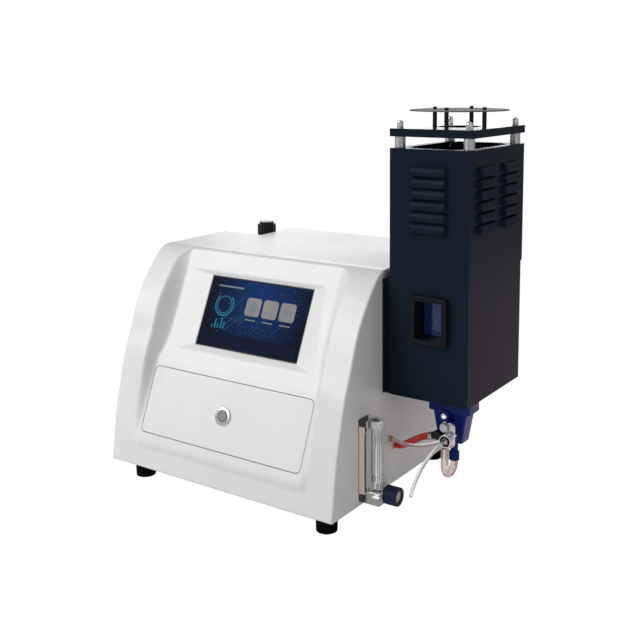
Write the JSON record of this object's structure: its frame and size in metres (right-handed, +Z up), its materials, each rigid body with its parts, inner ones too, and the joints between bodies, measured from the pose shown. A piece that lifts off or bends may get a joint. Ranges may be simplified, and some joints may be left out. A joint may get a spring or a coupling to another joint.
{
  "type": "flame photometer",
  "caption": "Bench flame photometer: white case with a sloping screen front, side burner tower with window and louvers, mixing chamber, flow meter and rear air regulator.",
  "frame": {"origin": "middle of the footprint, on the bench under the feet", "axes": "+Z up; the screen front faces -Y; the burner tower is at +X"},
  "size_m": [0.4528, 0.3158, 0.4688],
  "materials": {
    "shell_white": "satin moulded plastic, warm white",
    "cover_white": "satin powder coat, warm white",
    "rear_paint": "fine textured powder coat",
    "base_paint": "zinc coated and painted sheet",
    "black_rubber": "matt",
    "screw_steel": "bright zinc",
    "screen": "lit screen under clear glass",
    "chrome": "polished",
    "brushed_cap": "circular brushing",
    "zinc_box": "dull zinc",
    "circuit_green": "soldered board",
    "brass": "turned",
    "black_plastic": "fine texture",
    "lens_glass": "polished",
    "cast_aluminium": "satin",
    "bowl_clear": "clear moulded",
    "gauge_white": "white face under clear lens",
    "needle_red": "painted",
    "tower_paint": "dark blue-black powder coat",
    "window_dark": "moulded",
    "window_blue": "dark blue glass",
    "shield_glass": "clear",
    "disc_grey": "satin",
    "chamber_blue": "royal blue anodised",
    "clamp_grey": "satin anodised",
    "acrylic": "clear polished acrylic",
    "strip_salmon": "salmon strip with a printed scale",
    "knob_navy": "moulded, silver cap",
    "tube_red": "translucent red",
    "tube_clear": "clear",
    "tube_pink": "clear, pinkish"
  },
  "bodies": {
    "instrument": {"front_shell": "shell_white", "rear_cover": "cover_white", "rear_panel": "rear_paint", "base_plate": "base_paint", "rubber_feet": "black_rubber", "panel_screws": "screw_steel", "display_module": "screen", "lower_panel": "shell_white", "ignition_bezel": "chrome", "power_supply": "zinc_box", "main_board": "circuit_green", "gas_valve": "brass", "igniter_module": "black_plastic", "detector_housing": "black_plastic", "lens_tube": "cast_aluminium", "lens_and_filter": "lens_glass", "power_inlet": "black_plastic", "serial_port": "zinc_box", "hose_fittings": "brass", "regulator_body": "cast_aluminium", "regulator_bracket": "zinc_box", "filter_bowl": "bowl_clear", "pressure_gauge": "gauge_white", "burner_bracket": "tower_paint", "lower_housing": "tower_paint", "upper_housing": "tower_paint", "window_frame": "window_dark", "window_glass": "window_blue", "top_tray": "tower_paint", "tray_standoffs": "cast_aluminium", "acorn_nuts": "chrome", "deflector_posts": "black_plastic", "deflector_disc": "disc_grey", "mixing_chamber": "chamber_blue", "chamber_screws": "screw_steel", "burner_head": "screw_steel", "flame_shield": "shield_glass", "igniter_electrode": "screw_steel", "drain_nut": "chamber_blue", "nebulizer": "chrome", "clamp_plate": "clamp_grey", "gas_fitting": "black_plastic", "gas_ferrule": "chrome", "flow_meter_block": "acrylic", "flow_meter_inserts": "brass", "scale_strips": "strip_salmon", "gas_tube": "tube_red", "air_tube": "tube_clear", "sample_tube": "tube_clear", "drain_tube": "tube_pink"},
    "ignition_button": {"ignition_button": "brushed_cap"},
    "power_rocker": {"power_rocker": "black_plastic"},
    "fuse_drawer": {"fuse_drawer": "black_plastic"},
    "regulator_knob": {"regulator_knob": "black_plastic"},
    "gauge_needle": {"gauge_needle": "needle_red"},
    "bowl_drain": {"bowl_drain": "brass"},
    "clamp_screw": {"clamp_screw": "clamp_grey"},
    "valve_stem": {"valve_stem": "screw_steel"},
    "flow_knob": {"flow_knob": "knob_navy"},
    "flow_float": {"flow_float": "screw_steel"}
  },
  "joints": [
    {"name": "ignition_press", "type": "slide", "parent": "instrument", "child": "ignition_button", "axis": [0, 0.9227, -0.3854], "range_m": [0, 0.0022], "stiffness_N_per_m": 800},
    {"name": "power_switch", "type": "hinge", "parent": "instrument", "child": "power_rocker", "pos_m": [-0.10895, 0.1411, 0.095], "axis": [-1, 0, 0], "range_deg": [0, 14]},
    {"name": "fuse_pull", "type": "slide", "parent": "instrument", "child": "fuse_drawer", "axis": [0, 1, 0], "range_m": [0, 0.018]},
    {"name": "regulator_turn", "type": "hinge", "parent": "instrument", "child": "regulator_knob", "pos_m": [-0.17895, 0.1061, 0.285], "axis": [0, 0, 1], "range_deg": [0, 1080]},
    {"name": "needle_swing", "type": "hinge", "parent": "instrument", "child": "gauge_needle", "pos_m": [-0.17895, 0.1441, 0.243], "axis": [0, -1, 0], "range_deg": [0, 270], "stiffness_Nm_per_rad": 0.0001},
    {"name": "drain_turn", "type": "hinge", "parent": "instrument", "child": "bowl_drain", "pos_m": [-0.17895, 0.1061, 0.144], "axis": [0, 0, 1], "range_deg": [0, 90]},
    {"name": "clamp_turn", "type": "hinge", "parent": "instrument", "child": "clamp_screw", "pos_m": [0.18505, -0.0399, 0.1136], "axis": [0, -1, 0], "range_deg": [0, 720]},
    {"name": "stem_travel", "type": "slide", "parent": "instrument", "child": "valve_stem", "axis": [1, 0, 0], "range_m": [0, 0.0015]},
    {"name": "flow_turn", "type": "hinge", "parent": "valve_stem", "child": "flow_knob", "pos_m": [0.14205, -0.0949, 0.0447], "axis": [1, 0, 0], "range_deg": [0, 1080]},
    {"name": "float_rise", "type": "slide", "parent": "instrument", "child": "flow_float", "axis": [0, 0, 1], "range_m": [0, 0.055]}
  ],
  "couplings": [
    {"joint": "stem_travel", "follows": "flow_turn", "m_per_rad": 0.000079577}
  ]
}
